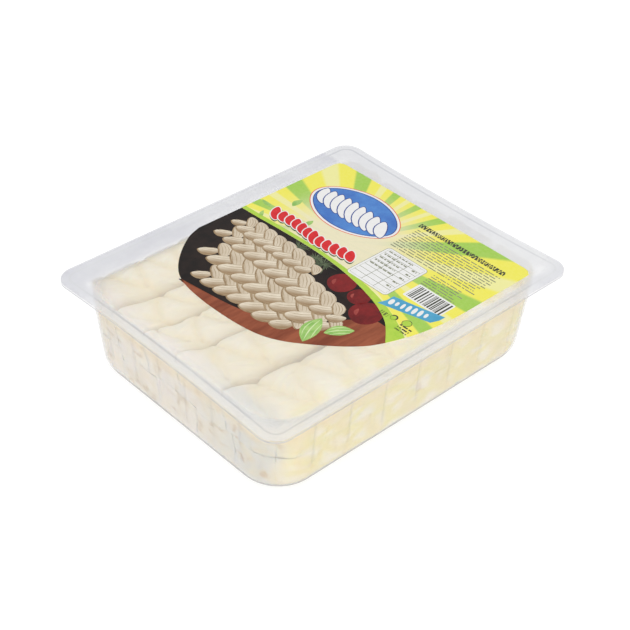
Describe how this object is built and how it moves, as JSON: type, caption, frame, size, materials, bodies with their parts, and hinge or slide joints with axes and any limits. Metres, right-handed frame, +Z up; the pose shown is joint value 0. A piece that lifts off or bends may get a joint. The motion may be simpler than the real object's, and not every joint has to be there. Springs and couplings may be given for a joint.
{
  "type": "braided string cheese in a sealed clear tray",
  "caption": "Plaited string cheese sticks packed side by side in two layers, in a clear formed tray with a flat flange and a sealed film lid.",
  "frame": {"origin": "middle of the tray's underside, on the surface it stands on", "axes": "+X along the braids and the tray's long side, +Z up out of the film lid"},
  "size_m": [0.19, 0.1544, 0.0496],
  "materials": {
    "tray": "clear thermoformed sheet, glossy, faintly grey",
    "lid_film": "clear sealing film, printed over its far part",
    "cheese": "moist stretched-curd cheese, pale cream, fibrous along the strands"
  },
  "bodies": {
    "root": {"tray": "tray", "lid_film": "lid_film", "braid_top_1": "cheese", "braid_top_2": "cheese", "braid_top_3": "cheese", "braid_top_4": "cheese", "braid_top_5": "cheese", "braid_low_1": "cheese", "braid_low_2": "cheese", "braid_low_3": "cheese", "braid_low_4": "cheese", "braid_low_5": "cheese"}
  },
  "joints": []
}
